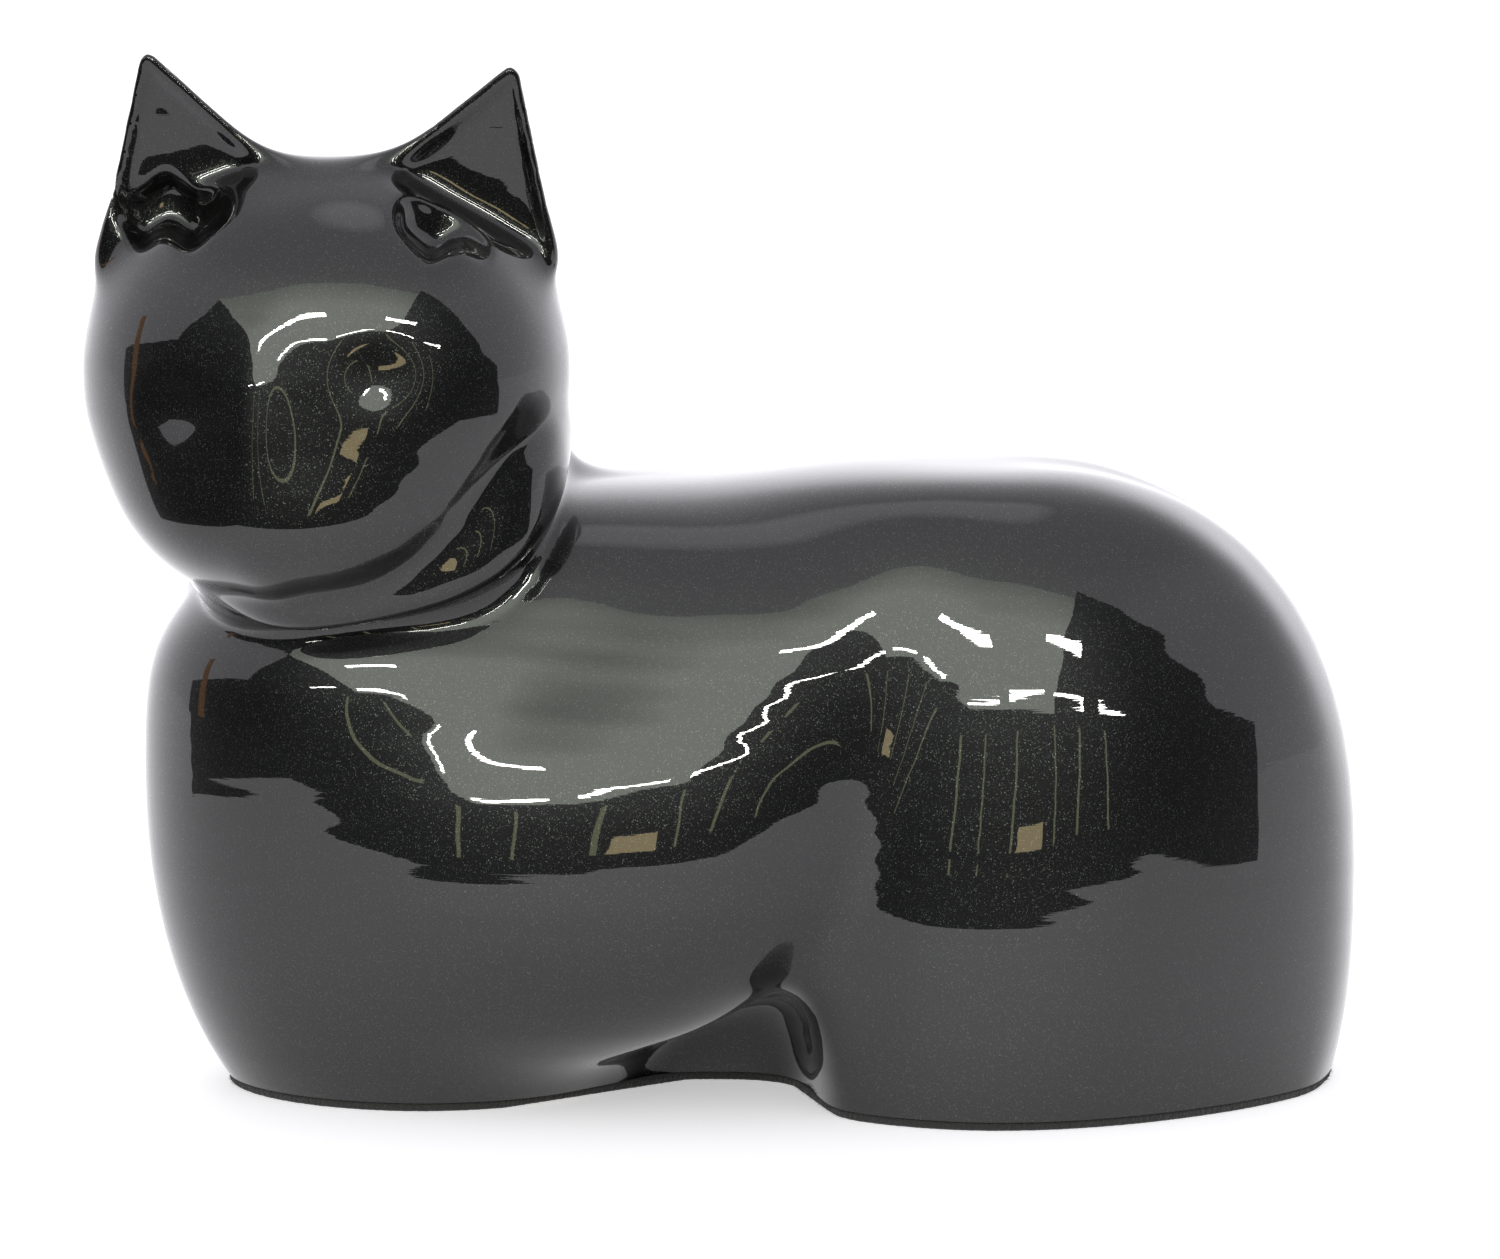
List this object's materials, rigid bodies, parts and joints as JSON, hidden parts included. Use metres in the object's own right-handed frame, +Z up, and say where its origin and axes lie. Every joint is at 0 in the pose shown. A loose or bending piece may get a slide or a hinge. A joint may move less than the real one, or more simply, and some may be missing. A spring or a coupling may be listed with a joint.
{
  "type": "ceramic cat figurine",
  "caption": "Lying cat figurine in black-glazed ceramic with its head turned to the side, hollow inside, with a felt-covered flat base.",
  "frame": {"origin": "on the table, under the middle of the bounding box", "axes": "+X along the back from the head end to the rump, -Y the side the face looks to, +Z up"},
  "size_m": [0.2797, 0.1392, 0.2288],
  "materials": {
    "body_glaze": "gloss black glaze with fine pearl flakes",
    "head_glaze": "gloss black glaze with fine pearl flakes",
    "disc_clay": "bare fired clay",
    "base_felt": "black felt"
  },
  "bodies": {
    "root": {"body_shell": "body_glaze", "head_shell": "head_glaze", "closing_disc": "disc_clay", "felt_pad": "base_felt"}
  },
  "joints": []
}
